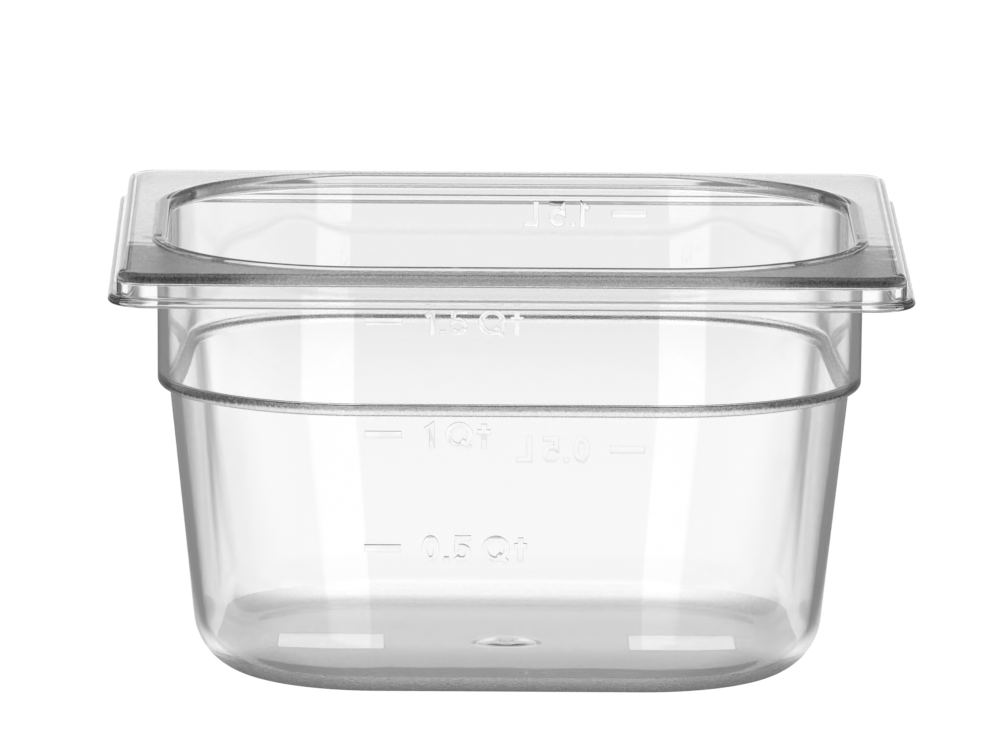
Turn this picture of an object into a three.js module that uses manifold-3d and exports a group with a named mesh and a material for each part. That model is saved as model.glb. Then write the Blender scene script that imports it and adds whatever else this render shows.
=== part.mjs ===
// Clear food pan of the one-sixth gastronorm size, with a hooked rim, a stacking shoulder and level marks.
// Millimetres, +Z up. The origin is at the centre of the underside, with the 176 mm side along X.
// The pan is one moulding. Each mesh is one stretch of it, and neighbours meet face to face.
import * as THREE from "three";
import { mergeVertices } from "three/addons/utils/BufferGeometryUtils.js";
import Module from "manifold-3d";

// Overall size
const RIM_LENGTH = 176;
const RIM_WIDTH = 162;
const PAN_HEIGHT = 97.5;
const SHEET = 2.3; // wall thickness
const HALF_DIFFERENCE = (RIM_LENGTH - RIM_WIDTH) / 2; // every outline is this much shorter along Y

// Rim
const LIP_HALF = RIM_LENGTH / 2;
const LIP_RADIUS = 1; // full-round lower edge
const LIP_PROJECTION = 1.9; // lip beyond the skirt
const RIM_DEPTH = 8; // from the top of the bead to the underside of the lip
const RIM_CORNER = 10; // plan radius of the lip
const RIM_FILLET = 2.1; // between skirt and flange
const BEAD_HEIGHT = 0.6; // raised edge round the opening
const BEAD_WIDTH = 1.8;
const BEAD_SLOPE = 0.3; // plan width of its steep outer side
const MOUTH_FILLET = 1.6; // rounded edge of the opening

// Collar, shoulder and tapering body
const COLLAR_HALF = 78; // outside, at the flange
const COLLAR_DRAFT = 0.2;
const WELL_CORNER = 45.5; // plan radius outside the collar
const SHOULDER_Z = 64.3; // underside of the stacking shoulder
const SHOULDER_FILLET = 1.75;
const BODY_HALF = 75.15; // outside of the body at the shoulder
const BODY_TAPER = Math.tan(THREE.MathUtils.degToRad(6));
const BASE_FILLET = 13; // outside radius between body and base
const BASE_CORNER = 27; // plan radius of the flat base
const GATE_RADIUS = 7.4; // round gate mark at the middle of the base
const GATE_DEPTH = 0.6;
const GATE_DOME = 0.8;
const STUB_RADIUS = 1.4;
const STUB_DROP = 0.4;
const WINDOW_SIDE = 24; // two smooth square windows, set into the grained underside
const WINDOW_OFFSET = 39.4; // from the middle of the base to the middle of a window
const WINDOW_DEPTH = 0.25;

// Level marks
const MARK_RELIEF = 0.35;
const MARK_STROKE = 1.2;
const MARK_HEIGHT = 6;
const TICK_LENGTH = 8;
const TICK_HEIGHT = 1.7;
const TICK_START = -31.8; // left end of a tick, measured from the middle of the wall
const TEXT_START = -19.2; // left edge of the first numeral
const LETTER_GAP = 1;
const WORD_GAP = 2.4;

// Facets
const CORNER_STEPS = 10;
const FILLET_STEPS = 4;
const GLYPH_STEPS = 5;
const ROUND_STEPS = 32;

// Heights and half-lengths that follow
const FLANGE_TOP = PAN_HEIGHT - BEAD_HEIGHT;
const FLANGE_UNDERSIDE = FLANGE_TOP - SHEET;
const LIP_BOTTOM = PAN_HEIGHT - RIM_DEPTH;
const LIP_TOP = LIP_BOTTOM + 2 * LIP_RADIUS;
const SKIRT_HALF = LIP_HALF - LIP_PROJECTION;
const SKIRT_INNER = SKIRT_HALF - SHEET;
const COLLAR_INNER = COLLAR_HALF - SHEET;
const MOUTH_HALF = COLLAR_INNER + MOUTH_FILLET;
const LEDGE_TOP = SHOULDER_Z + SHEET;
const COLLAR_FOOT = COLLAR_HALF - COLLAR_DRAFT;
const COLLAR_FOOT_INNER = COLLAR_INNER - COLLAR_DRAFT;
const TAPER_ANGLE = Math.atan(BODY_TAPER);
const SLANT_SHEET = SHEET / Math.cos(TAPER_ANGLE);
const BODY_CORNER = WELL_CORNER - (COLLAR_HALF - BODY_HALF);
const bodyHalf = (z) => BODY_HALF - (SHOULDER_Z - z) * BODY_TAPER;
const BASE_HALF = bodyHalf(BASE_FILLET) - BASE_FILLET / Math.cos(TAPER_ANGLE);

// Concentric corner radii of the rim and of the well
const rimCorner = (half) => RIM_CORNER - (LIP_HALF - half);
const wellCorner = (half) => WELL_CORNER - (COLLAR_HALF - half);

const clear = new THREE.MeshStandardMaterial({
  color: 0xe9ebeb, roughness: 0.06, metalness: 0, transparent: true, opacity: 0.35,
});
const frosted = new THREE.MeshStandardMaterial({
  color: 0xdfe1e1, roughness: 0.45, metalness: 0, transparent: true, opacity: 0.5,
});

const wasm = await Module();
wasm.setup();

// A closed three.js geometry as a solid, and back
function toSolid(geometry) {
  const bare = geometry.clone();
  bare.deleteAttribute("normal");
  bare.deleteAttribute("uv");
  const merged = mergeVertices(bare);
  return new wasm.Manifold(new wasm.Mesh({
    numProp: 3,
    vertProperties: merged.getAttribute("position").array,
    triVerts: new Uint32Array(merged.index.array),
  }));
}

function toGeometry(solid) {
  const mesh = solid.getMesh();
  const geometry = new THREE.BufferGeometry();
  geometry.setAttribute("position", new THREE.BufferAttribute(new Float32Array(mesh.vertProperties), 3));
  geometry.setIndex(new THREE.BufferAttribute(new Uint32Array(mesh.triVerts), 1));
  geometry.computeVertexNormals();
  return geometry;
}

// Rounded rectangle seen from above, counter-clockwise, the same number of points at every size
function planOutline(half, corner) {
  const points = [];
  for (let quarter = 0; quarter < 4; quarter++) {
    const signX = quarter === 0 || quarter === 3 ? 1 : -1;
    const signY = quarter < 2 ? 1 : -1;
    for (let step = 0; step <= CORNER_STEPS; step++) {
      const angle = (quarter + step / CORNER_STEPS) * Math.PI / 2;
      points.push(new THREE.Vector2(
        signX * (half - corner) + corner * Math.cos(angle),
        signY * (half - HALF_DIFFERENCE - corner) + corner * Math.sin(angle),
      ));
    }
  }
  return points;
}

// One point of a wall section: half-length, height and plan radius
const at = (half, z, corner) => ({ half, z, corner });

// An arc of a wall section about a centre, between two angles in the half-length and height plane
function sectionArc(centreHalf, centreZ, radius, from, to, steps, cornerOf) {
  const points = [];
  for (let step = 0; step <= steps; step++) {
    const angle = from + (to - from) * step / steps;
    const half = centreHalf + radius * Math.cos(angle);
    points.push(at(half, centreZ + radius * Math.sin(angle), cornerOf(half, angle)));
  }
  return points;
}

// A closed ring: the section, counter-clockwise with half-length to the right, carried round the outline
function ringGeometry(section) {
  const loops = section.map((point) => planOutline(point.half, point.corner));
  const columns = loops[0].length;
  const positions = [];
  loops.forEach((loop, row) => {
    loop.forEach((point) => positions.push(point.x, point.y, section[row].z));
  });
  const index = [];
  for (let row = 0; row < section.length; row++) {
    const nextRow = (row + 1) % section.length;
    for (let column = 0; column < columns; column++) {
      const nextColumn = (column + 1) % columns;
      const a = row * columns + column;
      const b = row * columns + nextColumn;
      const c = nextRow * columns + nextColumn;
      const d = nextRow * columns + column;
      index.push(a, b, c, a, c, d);
    }
  }
  const geometry = new THREE.BufferGeometry();
  geometry.setAttribute("position", new THREE.Float32BufferAttribute(positions, 3));
  geometry.setIndex(index);
  geometry.computeVertexNormals();
  return geometry;
}

const pan = new THREE.Group();

function addPiece(name, geometry, material) {
  const mesh = new THREE.Mesh(geometry, material);
  mesh.name = name;
  pan.add(mesh);
  return mesh;
}

// Rounded lip at the foot of the skirt, with a flat underside that rests on a counter well
function rimLip() {
  const lipCentre = LIP_HALF - LIP_RADIUS;
  return [
    at(SKIRT_INNER, LIP_BOTTOM, rimCorner(SKIRT_INNER)),
    ...sectionArc(lipCentre, LIP_BOTTOM + LIP_RADIUS, LIP_RADIUS,
      -Math.PI / 2, Math.PI / 2, 2 * FILLET_STEPS, rimCorner),
    at(SKIRT_HALF, LIP_TOP, rimCorner(SKIRT_HALF)),
    at(SKIRT_INNER, LIP_TOP, rimCorner(SKIRT_INNER)),
  ];
}

// Upright skirt between lip and flange
function rimSkirt() {
  return [
    at(SKIRT_INNER, LIP_TOP, rimCorner(SKIRT_INNER)),
    at(SKIRT_HALF, LIP_TOP, rimCorner(SKIRT_HALF)),
    at(SKIRT_HALF, FLANGE_UNDERSIDE, rimCorner(SKIRT_HALF)),
    at(SKIRT_INNER, FLANGE_UNDERSIDE, rimCorner(SKIRT_INNER)),
  ];
}

// Flat flange with the outer fillet, the raised bead and the rounded edge of the mouth
function rimFlange() {
  const filletHalf = SKIRT_HALF - RIM_FILLET;
  const beadFoot = MOUTH_HALF + BEAD_WIDTH;
  return [
    at(COLLAR_INNER, FLANGE_UNDERSIDE, wellCorner(COLLAR_INNER)),
    at(COLLAR_HALF, FLANGE_UNDERSIDE, wellCorner(COLLAR_HALF)),
    at(SKIRT_INNER, FLANGE_UNDERSIDE, rimCorner(SKIRT_INNER)),
    at(SKIRT_HALF, FLANGE_UNDERSIDE, rimCorner(SKIRT_HALF)),
    ...sectionArc(filletHalf, FLANGE_TOP - RIM_FILLET, RIM_FILLET,
      0, Math.PI / 2, FILLET_STEPS, rimCorner),
    at(beadFoot, FLANGE_TOP, wellCorner(beadFoot)),
    at(beadFoot - BEAD_SLOPE, PAN_HEIGHT, wellCorner(beadFoot - BEAD_SLOPE)),
    ...sectionArc(MOUTH_HALF, PAN_HEIGHT - MOUTH_FILLET, MOUTH_FILLET,
      Math.PI / 2, Math.PI, FILLET_STEPS, wellCorner),
  ];
}

// Upright collar that nests in the rim of the pan below when pans are stacked
function upperCollar() {
  return [
    at(COLLAR_FOOT_INNER, LEDGE_TOP, wellCorner(COLLAR_FOOT_INNER)),
    at(COLLAR_FOOT, LEDGE_TOP, wellCorner(COLLAR_FOOT)),
    at(COLLAR_HALF, FLANGE_UNDERSIDE, wellCorner(COLLAR_HALF)),
    at(COLLAR_INNER, FLANGE_UNDERSIDE, wellCorner(COLLAR_INNER)),
  ];
}

// Ledge that steps in from the collar to the body
function stackingShoulder() {
  const bodyInner = BODY_HALF - SLANT_SHEET;
  const ledgeEdge = bodyInner + SHOULDER_FILLET;
  return [
    at(bodyInner, SHOULDER_Z, wellCorner(bodyInner)),
    at(BODY_HALF, SHOULDER_Z, BODY_CORNER),
    ...sectionArc(COLLAR_FOOT - SHOULDER_FILLET, SHOULDER_Z + SHOULDER_FILLET, SHOULDER_FILLET,
      -Math.PI / 2, 0, FILLET_STEPS, wellCorner),
    at(COLLAR_FOOT, LEDGE_TOP, wellCorner(COLLAR_FOOT)),
    at(COLLAR_FOOT_INNER, LEDGE_TOP, wellCorner(COLLAR_FOOT_INNER)),
    ...sectionArc(ledgeEdge, LEDGE_TOP - SHOULDER_FILLET, SHOULDER_FILLET,
      Math.PI / 2, Math.PI, FILLET_STEPS, wellCorner),
  ];
}

// Tapering wall below the shoulder
function bodyWall() {
  const topInner = BODY_HALF - SLANT_SHEET;
  const footHalf = bodyHalf(BASE_FILLET);
  const footInner = footHalf - SLANT_SHEET;
  return [
    at(footInner, BASE_FILLET, wellCorner(topInner)),
    at(footHalf, BASE_FILLET, BODY_CORNER),
    at(BODY_HALF, SHOULDER_Z, BODY_CORNER),
    at(topInner, SHOULDER_Z, wellCorner(topInner)),
  ];
}

// Rounded turn from the wall into the base, inside and out
function baseTurn() {
  const footHalf = bodyHalf(BASE_FILLET);
  const footInner = footHalf - SLANT_SHEET;
  const innerCorner = wellCorner(BODY_HALF - SLANT_SHEET);
  const blend = (wall) => (half, angle) => BASE_CORNER + (wall - BASE_CORNER) * Math.cos(angle);
  const down = -Math.PI / 2;
  return [
    ...sectionArc(BASE_HALF, BASE_FILLET, BASE_FILLET,
      down, -TAPER_ANGLE, 2 * FILLET_STEPS, blend(BODY_CORNER)),
    at(footHalf, BASE_FILLET, BODY_CORNER),
    at(footInner, BASE_FILLET, innerCorner),
    ...sectionArc(BASE_HALF, BASE_FILLET, BASE_FILLET - SHEET,
      -TAPER_ANGLE, down, 2 * FILLET_STEPS, blend(innerCorner)),
  ];
}

// Flat base with the round recess of the gate and the two square windows in its underside
function baseFloor() {
  const outline = new THREE.Shape(planOutline(BASE_HALF, BASE_CORNER));
  const plate = new THREE.ExtrudeGeometry(outline, { depth: SHEET, bevelEnabled: false });
  const recess = new THREE.LatheGeometry([
    new THREE.Vector2(0, -GATE_DEPTH),
    new THREE.Vector2(GATE_RADIUS + GATE_DEPTH, -GATE_DEPTH),
    new THREE.Vector2(GATE_RADIUS - GATE_DEPTH, GATE_DEPTH),
    new THREE.Vector2(0, GATE_DEPTH),
  ], ROUND_STEPS);
  recess.rotateX(Math.PI / 2);
  const windows = [-WINDOW_OFFSET, WINDOW_OFFSET].map((x) =>
    new THREE.BoxGeometry(WINDOW_SIDE, WINDOW_SIDE, 2 * WINDOW_DEPTH).translate(x, 0, 0));
  const cuts = [recess, ...windows].map(toSolid);
  return toGeometry(cuts.reduce((floor, cut) => floor.subtract(cut), toSolid(plate)));
}

// Low dome inside the pan over the gate
function gateDome() {
  const sphere = (GATE_RADIUS ** 2 + GATE_DOME ** 2) / (2 * GATE_DOME);
  const profile = [new THREE.Vector2(0, 0), new THREE.Vector2(GATE_RADIUS, 0)];
  const span = Math.asin(GATE_RADIUS / sphere);
  for (let step = 1; step <= FILLET_STEPS; step++) {
    const angle = span * (1 - step / FILLET_STEPS);
    profile.push(new THREE.Vector2(sphere * Math.sin(angle), sphere * Math.cos(angle) - sphere + GATE_DOME));
  }
  const dome = new THREE.LatheGeometry(profile, ROUND_STEPS);
  dome.rotateX(Math.PI / 2);
  return dome;
}

// Outline of a pen stroke of constant width along a line of points, closed or open
function strokeShape(points, closed) {
  const sides = [1, -1].map((sign) => points.map((point, i) => {
    const before = closed ? points.at(i - 1) : points[Math.max(i - 1, 0)];
    const after = closed ? points[(i + 1) % points.length] : points[Math.min(i + 1, points.length - 1)];
    const inward = before === point ? after.clone().sub(point) : point.clone().sub(before);
    const outward = after === point ? inward.clone() : after.clone().sub(point);
    const tangent = inward.clone().normalize().add(outward.clone().normalize()).normalize();
    const mitre = MARK_STROKE / 2 / Math.max(tangent.dot(outward.clone().normalize()), 0.5);
    return new THREE.Vector2(point.x - sign * mitre * tangent.y, point.y + sign * mitre * tangent.x);
  }));
  if (!closed) return new THREE.Shape([...sides[1], ...sides[0].reverse()]);
  const shape = new THREE.Shape(sides[1]);
  shape.holes.push(new THREE.Path(sides[0]));
  return shape;
}

// Points on an ellipse about (x, y), from one angle to another in degrees
function ellipsePoints(x, y, radiusX, radiusY, from, to, steps) {
  const points = [];
  for (let step = 0; step <= steps; step++) {
    const angle = THREE.MathUtils.degToRad(from + (to - from) * step / steps);
    points.push(new THREE.Vector2(x + radiusX * Math.cos(angle), y + radiusY * Math.sin(angle)));
  }
  return points;
}

const line = (...pairs) => pairs.map(([x, y]) => new THREE.Vector2(x, y));
const PEN = MARK_STROKE / 2;
const TOP = MARK_HEIGHT - PEN; // centre line of the highest stroke
const OVAL_HEIGHT = TOP / 2 - PEN / 2; // from the middle of an oval to its highest centre line
const closedOval = (width) => ({
  closed: true,
  points: ellipsePoints(width / 2, MARK_HEIGHT / 2, width / 2 - PEN, OVAL_HEIGHT, 0, 360, 4 * GLYPH_STEPS)
    .slice(0, -1),
});

// Plain numerals and unit letters: width, and the centre lines of their strokes
const GLYPHS = {
  0: { width: 3.8, strokes: [closedOval(3.8)] },
  1: { width: 2.6, strokes: [{ points: line([PEN, 4.1], [2.6 - PEN, 5.2], [2.6 - PEN, 0]) }] },
  5: {
    width: 3.8,
    strokes: [{
      points: [
        ...line([3.7, TOP], [PEN + 0.2, TOP], [PEN + 0.1, 3.1]),
        ...ellipsePoints(1.8, 2.05, 1.4, 1.45, 110, -150, 2 * GLYPH_STEPS),
      ],
    }],
  },
  point: { width: 1.2, strokes: [{ points: line([PEN, 0], [PEN, MARK_STROKE]) }] },
  Q: {
    width: 6,
    strokes: [closedOval(6), { points: line([3.5, 1.9], [5.4, 0]) }],
  },
  t: {
    width: 2.8,
    strokes: [{ points: line([1.4, 5.6], [1.4, 0]) }, { points: line([0, 3.7], [2.8, 3.7]) }],
  },
  L: { width: 3.4, strokes: [{ points: line([PEN, MARK_HEIGHT], [PEN, PEN], [3.4, PEN]) }] },
};

function glyphGeometry(glyph) {
  const raised = { depth: MARK_RELIEF, bevelEnabled: false };
  const solids = glyph.strokes.map(({ points, closed }) =>
    toSolid(new THREE.ExtrudeGeometry(strokeShape(points, closed), raised)));
  return toGeometry(solids.reduce((whole, solid) => whole.add(solid)));
}

function tickGeometry() {
  const bar = new THREE.BoxGeometry(TICK_LENGTH, TICK_HEIGHT, MARK_RELIEF);
  bar.translate(TICK_LENGTH / 2, 0, MARK_RELIEF / 2);
  return bar;
}

// A frame on the outside of the front or back wall at a height: x along the wall, y up it, z out of it
function wallFrame(z, back) {
  const onCollar = z > LEDGE_TOP;
  const lean = onCollar ? Math.atan(COLLAR_DRAFT / (FLANGE_UNDERSIDE - LEDGE_TOP)) : TAPER_ANGLE;
  const half = onCollar ? COLLAR_HALF - (FLANGE_UNDERSIDE - z) * Math.tan(lean) : bodyHalf(z);
  const wall = new THREE.Group();
  wall.position.set(0, (back ? 1 : -1) * (half - HALF_DIFFERENCE), z);
  wall.rotation.order = "ZXY";
  wall.rotation.set(Math.PI / 2 + lean, 0, back ? Math.PI : 0);
  return wall;
}

// A level mark: a tick and a row of raised numerals and letters, one mesh each
function addLevelMark(label, z, back, words) {
  const wall = wallFrame(z, back);
  pan.add(wall);
  const place = (name, geometry, x, y) => {
    const mesh = new THREE.Mesh(geometry, clear);
    mesh.name = `${label}_${name}`;
    mesh.position.set(x, y, 0);
    wall.add(mesh);
  };
  place("tick", tickGeometry(), TICK_START, 0);
  let x = TEXT_START;
  words.forEach((word) => {
    word.forEach((key) => {
      const name = Number.isNaN(Number(key)) ? key : `numeral_${key}`;
      place(name, glyphGeometry(GLYPHS[key]), x, -MARK_HEIGHT / 2);
      x += GLYPHS[key].width + LETTER_GAP;
    });
    x += WORD_GAP - LETTER_GAP;
  });
}

addPiece("rim_lip", ringGeometry(rimLip()), clear);
addPiece("rim_skirt", ringGeometry(rimSkirt()), clear);
addPiece("rim_flange", ringGeometry(rimFlange()), clear);
addPiece("upper_collar", ringGeometry(upperCollar()), clear);
addPiece("stacking_shoulder", ringGeometry(stackingShoulder()), clear);
addPiece("body_wall", ringGeometry(bodyWall()), clear);
addPiece("base_turn", ringGeometry(baseTurn()), clear);
addPiece("base_floor", baseFloor(), frosted);
addPiece("gate_dome", gateDome(), clear).position.z = SHEET;
const stub = new THREE.CylinderGeometry(STUB_RADIUS, STUB_RADIUS, STUB_DROP, ROUND_STEPS / 2);
stub.rotateX(Math.PI / 2);
addPiece("gate_stub", stub, frosted).position.z = GATE_DEPTH - STUB_DROP / 2;

// Quarts on the front wall and litres on the back wall
addLevelMark("front_half_quart", 34.4, false, [["0", "point", "5"], ["Q", "t"]]);
addLevelMark("front_one_quart", 60, false, [["1"], ["Q", "t"]]);
addLevelMark("front_one_half_quart", 85.5, false, [["1", "point", "5"], ["Q", "t"]]);
addLevelMark("back_half_litre", 35.5, true, [["0", "point", "5"], ["L"]]);
addLevelMark("back_one_half_litre", 88.3, true, [["1", "point", "5"], ["L"]]);

export default pan;
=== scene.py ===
"""Clear one-sixth gastronorm food pan on a pale table, drawn as the single moulding that it is.

Metres, +Z up, in the frame of the CAD part. The CAD part cuts the moulding into named stretches.
A cut inside clear plastic would show, so one closed shell of the same section stands for them all.
"""
import math

import bmesh
import bpy
from mathutils import Euler, Matrix, Vector


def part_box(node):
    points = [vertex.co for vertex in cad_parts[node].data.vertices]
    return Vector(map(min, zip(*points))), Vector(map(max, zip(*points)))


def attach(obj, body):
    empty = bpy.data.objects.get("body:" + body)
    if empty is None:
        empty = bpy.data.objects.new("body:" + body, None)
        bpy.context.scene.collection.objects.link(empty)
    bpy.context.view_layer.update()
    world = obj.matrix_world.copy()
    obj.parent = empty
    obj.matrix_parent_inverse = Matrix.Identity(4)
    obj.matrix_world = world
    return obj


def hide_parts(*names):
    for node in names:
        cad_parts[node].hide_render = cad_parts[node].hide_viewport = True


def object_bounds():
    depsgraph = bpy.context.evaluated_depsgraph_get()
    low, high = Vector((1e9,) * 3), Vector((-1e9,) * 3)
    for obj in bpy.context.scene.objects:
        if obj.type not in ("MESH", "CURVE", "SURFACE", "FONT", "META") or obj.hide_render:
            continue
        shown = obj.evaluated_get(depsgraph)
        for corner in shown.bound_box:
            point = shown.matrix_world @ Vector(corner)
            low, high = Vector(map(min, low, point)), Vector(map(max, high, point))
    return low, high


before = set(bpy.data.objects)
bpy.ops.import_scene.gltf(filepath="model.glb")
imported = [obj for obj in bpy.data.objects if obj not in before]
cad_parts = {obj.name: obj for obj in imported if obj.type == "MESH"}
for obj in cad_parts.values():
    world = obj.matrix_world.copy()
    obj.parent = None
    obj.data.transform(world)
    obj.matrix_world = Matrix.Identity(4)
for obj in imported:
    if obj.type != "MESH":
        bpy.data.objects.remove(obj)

MM = 0.001
cad_low, cad_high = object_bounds()

# Sizes of the moulding, read from the CAD nodes
RIM_TOP = cad_high.z - 0.001 * MM  # stays just inside the CAD box
WIDTH_LESS = cad_high.x - cad_high.y  # every outline of the well and rim is this much shorter along Y
LIP_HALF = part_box("rim_lip")[1].x
LIP_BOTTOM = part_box("rim_lip")[0].z
LIP_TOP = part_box("rim_lip")[1].z
SKIRT_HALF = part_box("rim_skirt")[1].x
FLANGE_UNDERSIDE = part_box("rim_flange")[0].z
COLLAR_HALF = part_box("upper_collar")[1].x
LEDGE_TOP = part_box("upper_collar")[0].z
COLLAR_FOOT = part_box("stacking_shoulder")[1].x
SHOULDER_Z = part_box("stacking_shoulder")[0].z
BODY_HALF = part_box("body_wall")[1].x
FOOT_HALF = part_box("base_turn")[1].x
FOOT_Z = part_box("body_wall")[0].z
FLOOR_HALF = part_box("base_floor")[1].x
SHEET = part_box("base_floor")[1].z
GATE_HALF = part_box("gate_dome")[1].x
DOME_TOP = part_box("gate_dome")[1].z
STUB_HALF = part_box("gate_stub")[1].x
STUB_BOTTOM, STUB_ROOF = (corner.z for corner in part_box("gate_stub"))

# Sizes that the boxes don't give
RIM_CORNER = 10 * MM  # plan radius of the lip
WELL_CORNER = 45.5 * MM  # plan radius outside the collar
BASE_CORNER = 27 * MM  # plan radius of the flat base
RIM_FILLET = 1.7 * MM
BEAD_WIDTH = 1.8 * MM
BEAD_SLOPE = 0.3 * MM
MOUTH_FILLET = 1.6 * MM
SHOULDER_FILLET = 1.75 * MM
LEDGE_BEVEL = 2.5 * MM  # height of the slope from the ledge inside to the wall below it
LEDGE_SLOPE = math.radians(25)
HOLLOW_FILLET = 0.7 * MM  # moulded inside corners under the rim and at the collar's foot
SMALL_FILLET = 0.3 * MM
BEAD_FILLET = 0.15 * MM
GRAIN_TOP = 4.8 * MM  # the eroded grain of the underside ends at this height on the turn
SATIN = 0.85  # share of that grain on the underside of the rim and on the ledge inside

TAPER = math.atan((BODY_HALF - FOOT_HALF) / (SHOULDER_Z - FOOT_Z))
SLANT_SHEET = SHEET / math.cos(TAPER)
FLANGE_TOP = FLANGE_UNDERSIDE + SHEET
LIP_RADIUS = (LIP_TOP - LIP_BOTTOM) / 2
SKIRT_INNER = SKIRT_HALF - SHEET
COLLAR_INNER = COLLAR_HALF - SHEET
COLLAR_FOOT_INNER = COLLAR_FOOT - SHEET
MOUTH_HALF = COLLAR_INNER + MOUTH_FILLET
BODY_INNER = BODY_HALF - SLANT_SHEET
FOOT_INNER = FOOT_HALF - SLANT_SHEET
TURN_RADIUS = FOOT_Z
MID_FLOOR = FLOOR_HALF * 0.6  # a row of the base between the gate and the turn
MID_CORNER = BASE_CORNER * 0.8

# Fineness of the mesh
ARC_STEP = math.radians(9)
CORNER_STEPS = 36
STRAIGHT_STEPS = 12
TURN_STEPS = 20
LIP_STEPS = 12
DOME_STEPS = 8
SUPPORT = 0.25 * MM  # an extra row this far from a fillet keeps the flat beside it flat
SLIVER = 0.0005 * MM  # shorter edges, which the joins may leave, are removed
SHARP_ANGLE = math.radians(32)  # edges that turn more than this stay sharp in the shading

# Level marks and the windows in the underside
MARK_NODES = sorted(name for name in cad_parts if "quart" in name or "litre" in name)
MARK_SINK = 0.12 * MM  # a mark reaches this far into the wall that it is joined to
MARK_EDGE = 0.09 * MM  # rounding of the raised edges
MARK_WELD = 0.004 * MM  # points of a mark that are nearer than this are merged
MARK_FLAT = math.radians(1)  # faces of a mark that turn less than this are merged
MARK_FACING = 0.9  # a mark's front and back are the faces that look this much along Y
WINDOW_SIDE = 24 * MM
WINDOW_OFFSET = 39.4 * MM
WINDOW_DEPTH = 0.25 * MM
WINDOW_CORNER = 0.6 * MM

# Surface of the plastic. Scales are per metre, and a noise range is carried to a roughness range
PLASTIC_COLOUR = (0.99, 0.99, 0.99, 1)
REFRACTION = 1.585
ABSORPTION = 10.0
RIPPLE_SCALE = 90.0
RIPPLE_STRETCH = (1.0, 1.0, 0.12)  # the ripples are long along Z
RIPPLE_DEPTH = 0.02 * MM
PITS_SCALE = 1700.0
PITS_RANGE = (0.3, 0.7)
PITS_DEPTH = 0.12 * MM
PITS_FALL = 8.0  # power of the grain, so that satin surfaces have far shallower pits
HAZE_SCALE = 240.0
HAZE_RANGE = (0.35, 0.75)
POLISHED_ROUGHNESS = (0.012, 0.05)
ERODED_ROUGHNESS = (0.24, 0.42)

# Camera
EYE_DISTANCE = 3.263
EYE_ELEVATION = math.radians(9.389)
EYE_TURN = math.radians(0.477)
EYE_ROLL = math.radians(0.426)
EYE_LENS = 526.5
EYE_REACH = 60
AIM_HEIGHT = 0.05
AIM_LEFT = math.radians(0.0313)
AIM_UP = math.radians(0.2155)

# Table, and the light mat just above it that only the plastic shows
TABLE_GLOW = 1.02
TABLE_RADIUS = 30.0
TABLE_SPOKES = 96
TABLE_LEVEL = cad_low.z - 0.1 * MM
MAT_LEVEL = cad_low.z - 0.05 * MM
MAT_HALF = 12.0
LANE_GLOW = 1.04  # the mat around the pan
DIM_GLOW = 0.7  # the mat far before the pan, and the room low in front
DIM_START = 0.16
DIM_END = 0.4
FAR_GLOW = 0.9  # the mat far behind the pan
FAR_START = 0.35
FAR_END = 0.55
FLAG_GLOW = 0.28  # two shades on the mat, left and right of the pan, that widen backwards
FLAG_START = 0.066
FLAG_START_SPREAD = 0.1
FLAG_START_BLUR = 0.03
FLAG_END = 0.2
FLAG_END_SPREAD = 0.45
FLAG_END_BLUR = 0.1
FLAG_FRONT = (0.03, 0.12)  # they fade out between these distances before the middle
UNDER_GLOW = 0.68  # shade under the base
UNDER_FRONT_GLOW = 0.33  # the same before its middle
UNDER_FRONT_BLUR = 0.035
UNDER_EDGE = (1.05, 1.3)  # it fades out between these multiples of the base's size

# Backdrop across the back of the table, with a grey border above it
BACKDROP_Y = 0.75
BACKDROP_HALF = 0.85
BACKDROP_HEIGHT = 0.2165  # the flange mirrors this edge across its side
BACKDROP_GLOW = 1.05
BORDER_HEIGHT = 0.35
BORDER_GLOW = 0.3

# Low light panels before the pan, left and right of its flat front
PANEL_SIDES = {"left": -1, "right": 1}
PANEL_GLOW = 1.75
PANEL_LEVEL = cad_low.z + 0.1 * MM
PANEL_START = 0.085
PANEL_END = 0.75
PANEL_FAN = 0.07  # their long edges have the places below at this distance before the middle
PANEL_INNER = {"left": 0.033, "right": 0.032}
PANEL_OUTER = {"left": 0.0455, "right": 0.0415}
PANEL_INNER_ANGLE = {"left": math.radians(5), "right": math.radians(2)}
PANEL_OUTER_ANGLE = {"left": math.radians(35), "right": math.radians(27)}

# Light of the room. Its parts fade into one another between two shares of a direction:
# how far it points backwards when taken level (TURN), or how far it points up (RISE)
SKY_LOW = 1.0
SKY_FRONT = 0.3
SKY_SIDE = 1.1
SKY_BEHIND = 0.4
SKY_TOP = 1.4
LOW_FRONT_TURN = (-0.8, -0.3)
FRONT_TURN = (-0.5, 0.1)
BEHIND_TURN = (0.5, 0.8)
LOW_RISE = (0.02, 0.3)
TOP_RISE = (0.85, 0.95)


def rim_corner(half):
    return RIM_CORNER - (LIP_HALF - half)


def well_corner(half):
    return WELL_CORNER - (COLLAR_HALF - half)


def outer_corner(half):
    """Plan radius outside the well: the tapering wall keeps the radius it has under the shoulder."""
    return well_corner(max(half, BODY_HALF))


def inner_corner(half):
    """Plan radius inside the well, with the same rule."""
    return well_corner(max(half, BODY_INNER))


def row(half, z, corner, grain=0.0, less=WIDTH_LESS):
    """One closed row of the shell: half-length along X, height, plan radius, and how much grain it has."""
    return {"half": half, "half_y": half - less, "z": z, "corner": corner, "grain": grain}


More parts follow.
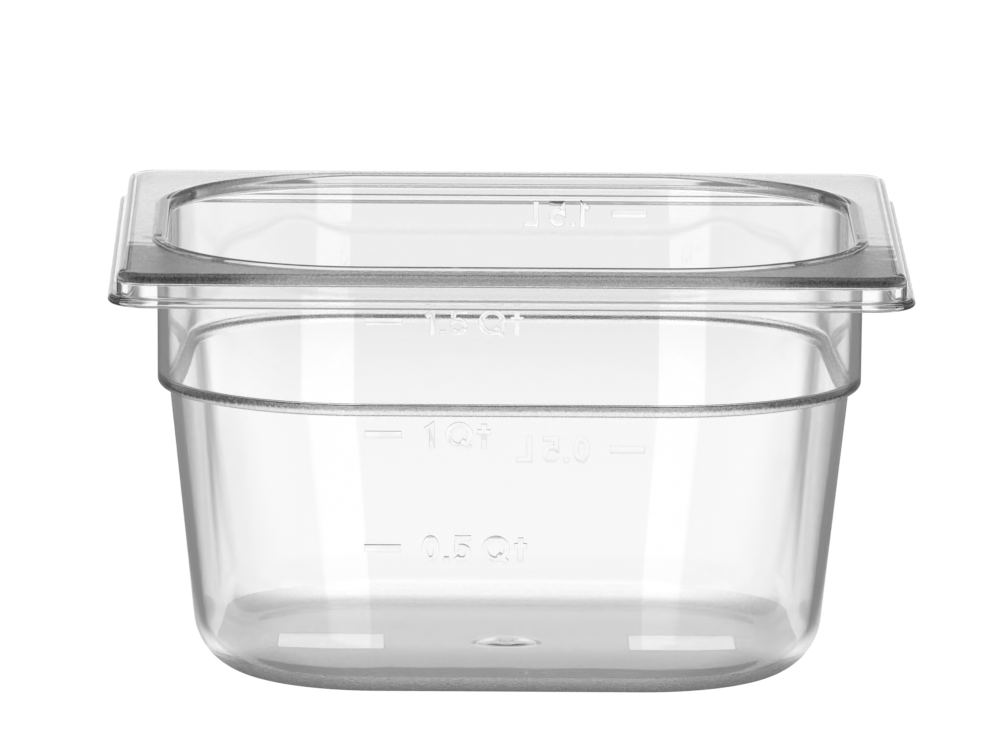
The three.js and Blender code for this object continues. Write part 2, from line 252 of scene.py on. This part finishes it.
def fillet(before, corner, after, radius):
    """Points (half, z) that turn a section corner by an arc of this radius."""
    here = Vector(corner)
    towards_before = (Vector(before) - here).normalized()
    towards_after = (Vector(after) - here).normalized()
    opening = towards_before.angle(towards_after)
    reach = radius / math.tan(opening / 2)
    middle = (towards_before + towards_after).normalized()
    centre = here + middle * (radius / math.sin(opening / 2))
    start = here + towards_before * reach - centre
    end = here + towards_after * reach - centre
    swing = math.atan2(start.cross(end), start.dot(end))
    steps = max(2, math.ceil(abs(swing) / ARC_STEP))
    spare_before, spare_after = (
        min(SUPPORT, 0.3 * ((Vector(point) - here).length - reach)) for point in (before, after))
    points = [here + towards_before * (reach + spare_before)]
    for step in range(steps + 1):
        angle = swing * step / steps
        turned = Vector((start.x * math.cos(angle) - start.y * math.sin(angle),
                         start.x * math.sin(angle) + start.y * math.cos(angle)))
        points.append(centre + turned)
    points.append(here + towards_after * (reach + spare_after))
    return points


def section(corners, plan_radius):
    """Rows along a section line. Each corner is (half, z, fillet radius), and 0 leaves it as it is."""
    rows = []
    for i, (half, z, radius) in enumerate(corners):
        if radius == 0:
            points = [Vector((half, z))]
        else:
            points = fillet(corners[i - 1][:2], (half, z), corners[i + 1][:2], radius)
        rows += [row(p.x, p.y, plan_radius(p.x)) for p in points]
    return rows


def base_turn(radius, wall_corner, upwards):
    """The turn from base to wall, whose plan radius grows from the base's to the wall's."""
    low, high = -math.pi / 2, -TAPER
    grain_angle = math.acos(1 - GRAIN_TOP / TURN_RADIUS) - math.pi / 2
    rows = []
    for step in range(TURN_STEPS + 1):
        angle = low + (high - low) * step / TURN_STEPS
        share = math.sin(math.pi / 2 * step / TURN_STEPS)
        corner = BASE_CORNER + (wall_corner - BASE_CORNER) * share
        grain = 1.0 if upwards and angle < grain_angle else 0.0
        half = FLOOR_HALF + radius * math.cos(angle)
        rows.append(row(half, TURN_RADIUS + radius * math.sin(angle), corner, grain))
    return rows if upwards else rows[::-1]


def disc(radius, z, grain=0.0):
    """A round row about the middle of the base."""
    return row(radius, z, radius, grain, less=0.0)


def underside():
    """Gate stub, recess and flat underside, from the middle outwards."""
    slope = STUB_ROOF
    return [
        disc(STUB_HALF - SMALL_FILLET / 2, STUB_BOTTOM),
        disc(STUB_HALF, STUB_BOTTOM + SMALL_FILLET / 2),
        disc(STUB_HALF, STUB_ROOF - SMALL_FILLET / 2),
        disc(STUB_HALF + SMALL_FILLET / 2, STUB_ROOF),
        disc(GATE_HALF - slope - SMALL_FILLET, STUB_ROOF),
        disc(GATE_HALF - slope, STUB_ROOF - SMALL_FILLET / 3),
        disc(GATE_HALF, SMALL_FILLET / 3),
        disc(GATE_HALF + SMALL_FILLET, 0, 1.0),
        disc(GATE_HALF + 4 * SMALL_FILLET, 0, 1.0),
        row(MID_FLOOR, 0, MID_CORNER, 1.0),
        row(FLOOR_HALF - SUPPORT, 0, BASE_CORNER, 1.0),
    ]


def outside():
    """From the foot of the wall up under the shoulder and the rim to the bottom of the lip."""
    well = section([
        (FOOT_HALF + SUPPORT * math.sin(TAPER), FOOT_Z + SUPPORT * math.cos(TAPER), 0),
        (BODY_HALF, SHOULDER_Z, SMALL_FILLET),
        (COLLAR_FOOT, SHOULDER_Z, SHOULDER_FILLET),
        (COLLAR_HALF, FLANGE_UNDERSIDE, HOLLOW_FILLET),
        (COLLAR_HALF + 2 * HOLLOW_FILLET, FLANGE_UNDERSIDE, 0),
    ], outer_corner)
    rim = section([
        (SKIRT_INNER - 2 * HOLLOW_FILLET, FLANGE_UNDERSIDE, 0),
        (SKIRT_INNER, FLANGE_UNDERSIDE, HOLLOW_FILLET),
        (SKIRT_INNER, LIP_BOTTOM, SMALL_FILLET),
        (LIP_HALF - LIP_RADIUS - SUPPORT, LIP_BOTTOM, 0),
    ], rim_corner)
    for ring in well + rim:
        if ring["z"] > FLANGE_UNDERSIDE - HOLLOW_FILLET / 2:
            ring["grain"] = SATIN
    return well + rim


def lip_and_flange():
    """Round lip, skirt, flange and bead, to the edge of the mouth."""
    lip_centre = LIP_HALF - LIP_RADIUS
    rows = []
    for step in range(LIP_STEPS + 1):
        angle = -math.pi / 2 + math.pi * step / LIP_STEPS
        half = lip_centre + LIP_RADIUS * math.cos(angle)
        rows.append(row(half, LIP_BOTTOM + LIP_RADIUS * (1 + math.sin(angle)), rim_corner(half)))
    bead_foot = MOUTH_HALF + BEAD_WIDTH
    rows += section([
        (lip_centre - SUPPORT / 2, LIP_TOP, 0),
        (SKIRT_HALF, LIP_TOP, SMALL_FILLET),
        (SKIRT_HALF, FLANGE_TOP, RIM_FILLET),
        (SKIRT_HALF - 2 * RIM_FILLET, FLANGE_TOP, 0),
    ], rim_corner)
    rows += section([
        (bead_foot + HOLLOW_FILLET, FLANGE_TOP, 0),
        (bead_foot, FLANGE_TOP, BEAD_FILLET),
        (bead_foot - BEAD_SLOPE, RIM_TOP, BEAD_FILLET),
        (MOUTH_HALF, RIM_TOP, 0),
    ], well_corner)
    return rows


def inside():
    """From the rounded mouth down the collar, over the ledge and down the wall."""
    rows = section([
        (MOUTH_HALF - SUPPORT, RIM_TOP, 0),
        (COLLAR_INNER, RIM_TOP, MOUTH_FILLET - SUPPORT),
        (COLLAR_FOOT_INNER, LEDGE_TOP, HOLLOW_FILLET),
        (BODY_INNER + LEDGE_BEVEL * math.tan(LEDGE_SLOPE), LEDGE_TOP, SMALL_FILLET),
        (BODY_INNER - LEDGE_BEVEL * math.tan(TAPER), LEDGE_TOP - LEDGE_BEVEL, SMALL_FILLET),
        (FOOT_INNER + SUPPORT * math.sin(TAPER), FOOT_Z + SUPPORT * math.cos(TAPER), 0),
    ], inner_corner)
    for ring in rows:
        if LEDGE_TOP - LEDGE_BEVEL - SUPPORT < ring["z"] < LEDGE_TOP + SUPPORT:
            ring["grain"] = SATIN
    return rows


def floor_inside():
    """Flat inside of the base and the low dome over the gate, from the turn to the middle."""
    rise = DOME_TOP - SHEET
    sphere = (GATE_HALF ** 2 + rise ** 2) / (2 * rise)
    span = math.asin(GATE_HALF / sphere)
    rows = [
        row(FLOOR_HALF - SUPPORT, SHEET, BASE_CORNER),
        row(MID_FLOOR, SHEET, MID_CORNER),
        disc(GATE_HALF + 4 * SMALL_FILLET, SHEET),
    ]
    for step in range(DOME_STEPS):
        angle = span * (1 - step / DOME_STEPS)
        rows.append(disc(sphere * math.sin(angle), sphere * math.cos(angle) - sphere + DOME_TOP))
    return rows


def outline(half_x, half_y, corner):
    """Rounded rectangle seen from above, with as many points at every size."""
    quarter_turns = ((1, 1), (-1, 1), (-1, -1), (1, -1))
    points = []
    for quarter, (side_x, side_y) in enumerate(quarter_turns):
        centre = Vector((side_x * (half_x - corner), side_y * (half_y - corner)))
        for step in range(CORNER_STEPS + 1):
            angle = (quarter + step / CORNER_STEPS) * math.pi / 2
            points.append(centre + corner * Vector((math.cos(angle), math.sin(angle))))
        next_x, next_y = quarter_turns[(quarter + 1) % 4]
        next_centre = Vector((next_x * (half_x - corner), next_y * (half_y - corner)))
        foot = points[-1]
        reach = next_centre - centre
        for step in range(1, STRAIGHT_STEPS):
            share = (1 - math.cos(math.pi * step / STRAIGHT_STEPS)) / 2
            points.append(foot + reach * share)
    return points


def mesh_object(name, vertices, faces):
    mesh = bpy.data.meshes.new(name)
    mesh.from_pydata(vertices, [], faces)
    mesh.validate()
    obj = bpy.data.objects.new(name, mesh)
    bpy.context.scene.collection.objects.link(obj)
    return obj


def shell_rows():
    """The rows of the whole moulding, from the gate outside to the gate inside."""
    rows = underside() + base_turn(TURN_RADIUS, well_corner(BODY_HALF), True)
    rows += outside() + lip_and_flange() + inside()
    return rows + base_turn(TURN_RADIUS - SHEET, well_corner(BODY_INNER), False) + floor_inside()


def shell():
    """The whole moulding without its marks, as one closed loft through its rows."""
    rows = shell_rows()
    vertices = []
    for ring in rows:
        vertices += [(p.x, p.y, ring["z"]) for p in outline(ring["half"], ring["half_y"], ring["corner"])]
    columns = len(vertices) // len(rows)
    faces = [list(range(columns))[::-1]]
    grains = [0.0]
    for r in range(len(rows) - 1):
        grains += [min(rows[r]["grain"], rows[r + 1]["grain"])] * columns
        for c in range(columns):
            here = r * columns + c
            beside = r * columns + (c + 1) % columns
            faces.append([here, beside, beside + columns, here + columns])
    faces.append(list(range(len(vertices) - columns, len(vertices))))
    grains.append(0.0)
    pan = mesh_object("food_pan", vertices, faces)
    grain = pan.data.attributes.new("grain", "FLOAT", "FACE")
    grain.data.foreach_set("value", grains)
    return pan


def raised_mark(form, node):
    """Adds one level mark's CAD solid to the form, sunk into the wall, with its raised edges rounded."""
    part = bmesh.new()
    part.from_mesh(bpy.data.objects[node].data)
    bmesh.ops.remove_doubles(part, verts=part.verts, dist=MARK_WELD)
    bmesh.ops.dissolve_limit(part, angle_limit=MARK_FLAT, verts=part.verts, edges=part.edges)
    part.normal_update()
    outwards = math.copysign(1.0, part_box(node)[0].y)
    facing = [(face, face.normal.y * outwards) for face in part.faces]
    back = {v for face, towards in facing if towards < -MARK_FACING for v in face.verts}
    top = {edge for face, towards in facing if towards > MARK_FACING for edge in face.edges}
    for v in back:
        v.co.y -= outwards * MARK_SINK
    bmesh.ops.bevel(part, geom=list(top), offset=MARK_EDGE, segments=2, profile=0.5, affect="EDGES")
    mesh = bpy.data.meshes.new(node + "_raised")
    part.to_mesh(mesh)
    part.free()
    form.from_mesh(mesh)
    bpy.data.meshes.remove(mesh)


def level_marks():
    """All the raised ticks, numerals and unit letters as one object."""
    form = bmesh.new()
    for node in MARK_NODES:
        raised_mark(form, node)
    mesh = bpy.data.meshes.new("level_marks")
    form.to_mesh(mesh)
    form.free()
    mesh.attributes.remove(mesh.attributes["custom_normal"])
    marks = bpy.data.objects.new("level_marks", mesh)
    bpy.context.scene.collection.objects.link(marks)
    return marks


def window_blocks():
    """Two rounded square blocks that cut the windows into the underside."""
    vertices = []
    faces = []
    for side in (-1, 1):
        first = len(vertices)
        for z, grow in ((-WINDOW_DEPTH, WINDOW_DEPTH), (WINDOW_DEPTH, 0.0)):
            half = WINDOW_SIDE / 2 + grow
            loop = outline(half, half, WINDOW_CORNER + grow)
            vertices += [(side * WINDOW_OFFSET + p.x, p.y, z) for p in loop]
        count = (len(vertices) - first) // 2
        faces.append([first + i for i in range(count)][::-1])
        faces.append([first + count + i for i in range(count)])
        for i in range(count):
            beside = (i + 1) % count
            faces.append([first + i, first + beside, first + count + beside, first + count + i])
    return mesh_object("window_blocks", vertices, faces)


def combine(pan, tool, operation):
    """Joins the tool to the pan, or cuts it out, and removes the tool."""
    modifier = pan.modifiers.new(operation, "BOOLEAN")
    modifier.operation = operation
    modifier.solver = "EXACT"
    modifier.object = tool
    evaluated = pan.evaluated_get(bpy.context.evaluated_depsgraph_get())
    result = bpy.data.meshes.new_from_object(evaluated)
    plain = pan.data
    pan.modifiers.clear()
    pan.data = result
    bpy.data.meshes.remove(plain)
    bpy.data.objects.remove(tool)


def drop_slivers(pan):
    """Removes edges and faces of no size that the joins may leave."""
    form = bmesh.new()
    form.from_mesh(pan.data)
    bmesh.ops.dissolve_degenerate(form, dist=SLIVER, edges=form.edges)
    form.to_mesh(pan.data)
    form.free()


def make_camera():
    """A long lens, a little above the rim and almost square to the long side."""
    camera = bpy.data.objects.new("camera", bpy.data.cameras.new("camera"))
    camera.data.lens = EYE_LENS
    camera.data.clip_end = EYE_REACH
    look = Euler((math.pi / 2 - EYE_ELEVATION, 0, -EYE_TURN)).to_matrix()
    back = look.col[2]
    roll = Matrix.Rotation(EYE_ROLL, 3, "Z")
    aim = Matrix.Rotation(AIM_LEFT, 3, "Y") @ Matrix.Rotation(AIM_UP, 3, "X")
    camera.matrix_world = (look @ roll @ aim).to_4x4()
    camera.location = Vector((0, 0, AIM_HEIGHT)) + back * EYE_DISTANCE
    bpy.context.scene.collection.objects.link(camera)
    bpy.context.scene.camera = camera


class Nodes:
    """Short calls for building a node tree."""

    def __init__(self, tree):
        self.tree = tree
        tree.nodes.clear()

    def add(self, kind, **inputs):
        node = self.tree.nodes.new(kind)
        for name, value in inputs.items():
            self.put(node.inputs[name.replace("_", " ")], value)
        return node

    def put(self, socket, value):
        if isinstance(value, bpy.types.NodeSocket):
            self.tree.links.new(value, socket)
        else:
            socket.default_value = value

    def math(self, operation, *values):
        node = self.tree.nodes.new("ShaderNodeMath")
        node.operation = operation
        for socket, value in zip(node.inputs, values):
            self.put(socket, value)
        return node.outputs[0]

    def spread(self, value, low, high, out_low, out_high, manner="LINEAR"):
        """The value carried from one range to another, and held at the ends."""
        node = self.add("ShaderNodeMapRange", Value=value, From_Min=low, From_Max=high)
        node.interpolation_type = manner
        self.put(node.inputs["To Min"], out_low)
        self.put(node.inputs["To Max"], out_high)
        return node.outputs[0]

    def ease(self, value, low, high, out_low, out_high):
        """As spread, with soft ends."""
        return self.spread(value, low, high, out_low, out_high, "SMOOTHSTEP")

    def blend(self, share, first, second):
        """From the first value to the second as the share goes from 0 to 1."""
        node = self.add("ShaderNodeMix", Factor=share)
        self.put(node.inputs[2], first)
        self.put(node.inputs[3], second)
        return node.outputs[0]

    def noise(self, place, scale, detail=2.0):
        return self.add("ShaderNodeTexNoise", Vector=place, Scale=scale, Detail=detail).outputs[0]


def surface_roughness(nodes, place, grained, pits):
    """A faint haze where polished, and rough where the grain is."""
    haze = nodes.noise(place, HAZE_SCALE, 4.0)
    polished = nodes.spread(haze, *HAZE_RANGE, *POLISHED_ROUGHNESS)
    eroded = nodes.spread(pits, *PITS_RANGE, *ERODED_ROUGHNESS)
    return nodes.blend(grained, polished, eroded)


def surface_bump(nodes, place, grained, pits):
    """Long shallow ripples all over, and pits where the grain is full."""
    drawn = nodes.add("ShaderNodeMapping", Vector=place)
    drawn.inputs["Scale"].default_value = RIPPLE_STRETCH
    ripple = nodes.noise(drawn.outputs[0], RIPPLE_SCALE, 1.0)
    ripple_height = nodes.math("MULTIPLY", ripple, RIPPLE_DEPTH)
    pitted = nodes.math("MULTIPLY", pits, nodes.math("POWER", grained, PITS_FALL))
    height = nodes.math("ADD", ripple_height, nodes.math("MULTIPLY", pitted, PITS_DEPTH))
    return nodes.add("ShaderNodeBump", Height=height, Strength=1.0, Distance=1.0).outputs[0]


def clear_plastic():
    """Clear moulded plastic: faintly uneven where polished, eroded where the mesh's grain is 1."""
    material = bpy.data.materials.new("clear_plastic")
    material.use_nodes = True
    nodes = Nodes(material.node_tree)
    place = nodes.add("ShaderNodeTexCoord").outputs["Object"]
    grain = nodes.add("ShaderNodeAttribute")
    grain.attribute_name = "grain"
    grained = grain.outputs["Fac"]
    pits = nodes.noise(place, PITS_SCALE, 3.0)

    plastic = nodes.add("ShaderNodeBsdfPrincipled")
    nodes.put(plastic.inputs["Roughness"], surface_roughness(nodes, place, grained, pits))
    nodes.put(plastic.inputs["Normal"], surface_bump(nodes, place, grained, pits))
    plastic.inputs["Base Color"].default_value = PLASTIC_COLOUR
    plastic.inputs["IOR"].default_value = REFRACTION
    plastic.inputs["Transmission Weight"].default_value = 1.0
    absorption = nodes.add("ShaderNodeVolumeAbsorption", Density=ABSORPTION)
    absorption.inputs["Color"].default_value = (0.0, 0.0, 0.0, 1)
    out = nodes.add("ShaderNodeOutputMaterial")
    nodes.put(out.inputs["Surface"], plastic.outputs[0])
    nodes.put(out.inputs["Volume"], absorption.outputs[0])
    return material


def glow_material(name, strength):
    """A material that gives out plain white light.

    The strength is a number, or a function that adds nodes and returns their output.
    """
    material = bpy.data.materials.new(name)
    material.use_nodes = True
    nodes = Nodes(material.node_tree)
    glow = nodes.add("ShaderNodeEmission")
    nodes.put(glow.inputs["Strength"], strength(nodes) if callable(strength) else strength)
    out = nodes.add("ShaderNodeOutputMaterial")
    nodes.put(out.inputs["Surface"], glow.outputs[0])
    return material


def flag_share(nodes, aside, before, behind):
    """How much of the shades left and right of the pan falls on a place of the mat."""
    inner = nodes.math("MULTIPLY_ADD", behind, FLAG_START_SPREAD, FLAG_START)
    outer = nodes.math("MULTIPLY_ADD", behind, FLAG_END_SPREAD, FLAG_END)
    past_inner = nodes.ease(nodes.math("SUBTRACT", aside, inner), 0.0, FLAG_START_BLUR, 0.0, 1.0)
    within_outer = nodes.ease(nodes.math("SUBTRACT", aside, outer), 0.0, FLAG_END_BLUR, 1.0, 0.0)
    across = nodes.math("MULTIPLY", past_inner, within_outer)
    return nodes.math("MULTIPLY", across, nodes.ease(before, *FLAG_FRONT, 1.0, 0.0))


def under_share(nodes, aside, y):
    """How much of the shade under the base falls on a place of the mat."""
    across = nodes.math("DIVIDE", aside, FLOOR_HALF)
    along = nodes.math("DIVIDE", nodes.math("ABSOLUTE", y), FLOOR_HALF - WIDTH_LESS)
    return nodes.ease(nodes.math("MAXIMUM", across, along), *UNDER_EDGE, 1.0, 0.0)


def mat_brightness(nodes):
    """Brightness of the light mat: shaded under and beside the pan, and dim far before it."""
    place = nodes.add("ShaderNodeNewGeometry").outputs["Position"]
    parts = nodes.add("ShaderNodeSeparateXYZ", Vector=place)
    y = parts.outputs["Y"]
    aside = nodes.math("ABSOLUTE", parts.outputs["X"])
    before = nodes.math("MULTIPLY", y, -1.0)
    behind = nodes.math("MAXIMUM", y, 0.0)
    brightness = nodes.ease(before, DIM_START, DIM_END, LANE_GLOW, DIM_GLOW)
    brightness = nodes.blend(nodes.ease(behind, FAR_START, FAR_END, 0.0, 1.0), brightness, FAR_GLOW)
    brightness = nodes.blend(flag_share(nodes, aside, before, behind), brightness, FLAG_GLOW)
    under = nodes.ease(before, 0.0, UNDER_FRONT_BLUR, UNDER_GLOW, UNDER_FRONT_GLOW)
    return nodes.blend(under_share(nodes, aside, y), brightness, under)


def border_brightness(nodes):
    """Dark along the top of the backdrop, lighter above."""
    place = nodes.add("ShaderNodeNewGeometry").outputs["Position"]
    height = nodes.add("ShaderNodeSeparateXYZ", Vector=place).outputs["Z"]
    return nodes.ease(height, BACKDROP_HEIGHT, BORDER_HEIGHT, BORDER_GLOW, SKY_BEHIND)


def card(name, corners, strength):
    """A flat sheet that lights or darkens what the plastic shows, and isn't seen directly."""
    sheet = mesh_object(name, corners, [list(range(len(corners)))])
    sheet.data.materials.append(glow_material(name, strength))
    sheet.visible_camera = False


def low_panel(side):
    """A light panel that lies before the pan and widens away from it. A front corner mirrors it."""
    inner = (PANEL_INNER[side], PANEL_INNER_ANGLE[side])
    outer = (PANEL_OUTER[side], PANEL_OUTER_ANGLE[side])
    corners = []
    for before, (edge, angle) in ((PANEL_START, inner), (PANEL_END, inner),
                                  (PANEL_END, outer), (PANEL_START, outer)):
        aside = edge + (before - PANEL_FAN) * math.tan(angle)
        corners.append((PANEL_SIDES[side] * aside, -before, PANEL_LEVEL))
    card("low_panel_" + side, corners, PANEL_GLOW)


def upright_card(name, low, high, strength):
    """A card that stands across the back of the table."""
    card(name, [(-BACKDROP_HALF, BACKDROP_Y, low), (BACKDROP_HALF, BACKDROP_Y, low),
                (BACKDROP_HALF, BACKDROP_Y, high), (-BACKDROP_HALF, BACKDROP_Y, high)], strength)


def make_table():
    """A wide pale disc just under the pan."""
    angles = [2 * math.pi * i / TABLE_SPOKES for i in range(TABLE_SPOKES)]
    ring = [(TABLE_RADIUS * math.cos(angle), TABLE_RADIUS * math.sin(angle), TABLE_LEVEL) for angle in angles]
    table = mesh_object("table", ring, [list(range(TABLE_SPOKES))])
    table.data.materials.append(glow_material("table", TABLE_GLOW))


def make_cards():
    """The light mat, the two low panels, the backdrop and its grey border."""
    card("light_mat", [(-MAT_HALF, -MAT_HALF, MAT_LEVEL), (MAT_HALF, -MAT_HALF, MAT_LEVEL),
                       (MAT_HALF, BACKDROP_Y, MAT_LEVEL), (-MAT_HALF, BACKDROP_Y, MAT_LEVEL)], mat_brightness)
    for side in PANEL_SIDES:
        low_panel(side)
    upright_card("backdrop", cad_low.z, BACKDROP_HEIGHT, BACKDROP_GLOW)
    upright_card("grey_border", BACKDROP_HEIGHT, BORDER_HEIGHT, border_brightness)


def make_room():
    """Soft light all round: bright at the sides, low down and overhead, grey behind and dim in front."""
    world = bpy.data.worlds.new("studio")
    bpy.context.scene.world = world
    world.use_nodes = True
    nodes = Nodes(world.node_tree)
    direction = nodes.add("ShaderNodeTexCoord").outputs["Generated"]
    parts = nodes.add("ShaderNodeSeparateXYZ", Vector=direction)
    up = parts.outputs["Z"]
    level = nodes.math("SQRT", nodes.math("SUBTRACT", 1.0, nodes.math("MULTIPLY", up, up)))
    backwards = nodes.math("DIVIDE", parts.outputs["Y"], nodes.math("MAXIMUM", level, 0.001))
    low = nodes.ease(backwards, *LOW_FRONT_TURN, DIM_GLOW, SKY_LOW)
    sky = nodes.ease(backwards, *FRONT_TURN, SKY_FRONT, SKY_SIDE)
    sky = nodes.blend(nodes.ease(backwards, *BEHIND_TURN, 0.0, 1.0), sky, SKY_BEHIND)
    sky = nodes.blend(nodes.ease(up, *TOP_RISE, 0.0, 1.0), sky, SKY_TOP)
    sky = nodes.blend(nodes.ease(up, *LOW_RISE, 1.0, 0.0), sky, low)
    light = nodes.add("ShaderNodeBackground", Strength=sky)
    out = nodes.add("ShaderNodeOutputWorld")
    nodes.put(out.inputs["Surface"], light.outputs[0])


bpy.context.scene.view_settings.view_transform = "Standard"
make_camera()
make_table()
make_cards()
make_room()

pan = shell()
combine(pan, level_marks(), "UNION")
combine(pan, window_blocks(), "DIFFERENCE")
drop_slivers(pan)
pan.data.name = "food_pan"
pan.data.materials.clear()
pan.data.materials.append(clear_plastic())
pan.data.shade_smooth()
pan.data.set_sharp_from_angle(angle=SHARP_ANGLE)
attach(pan, "root")
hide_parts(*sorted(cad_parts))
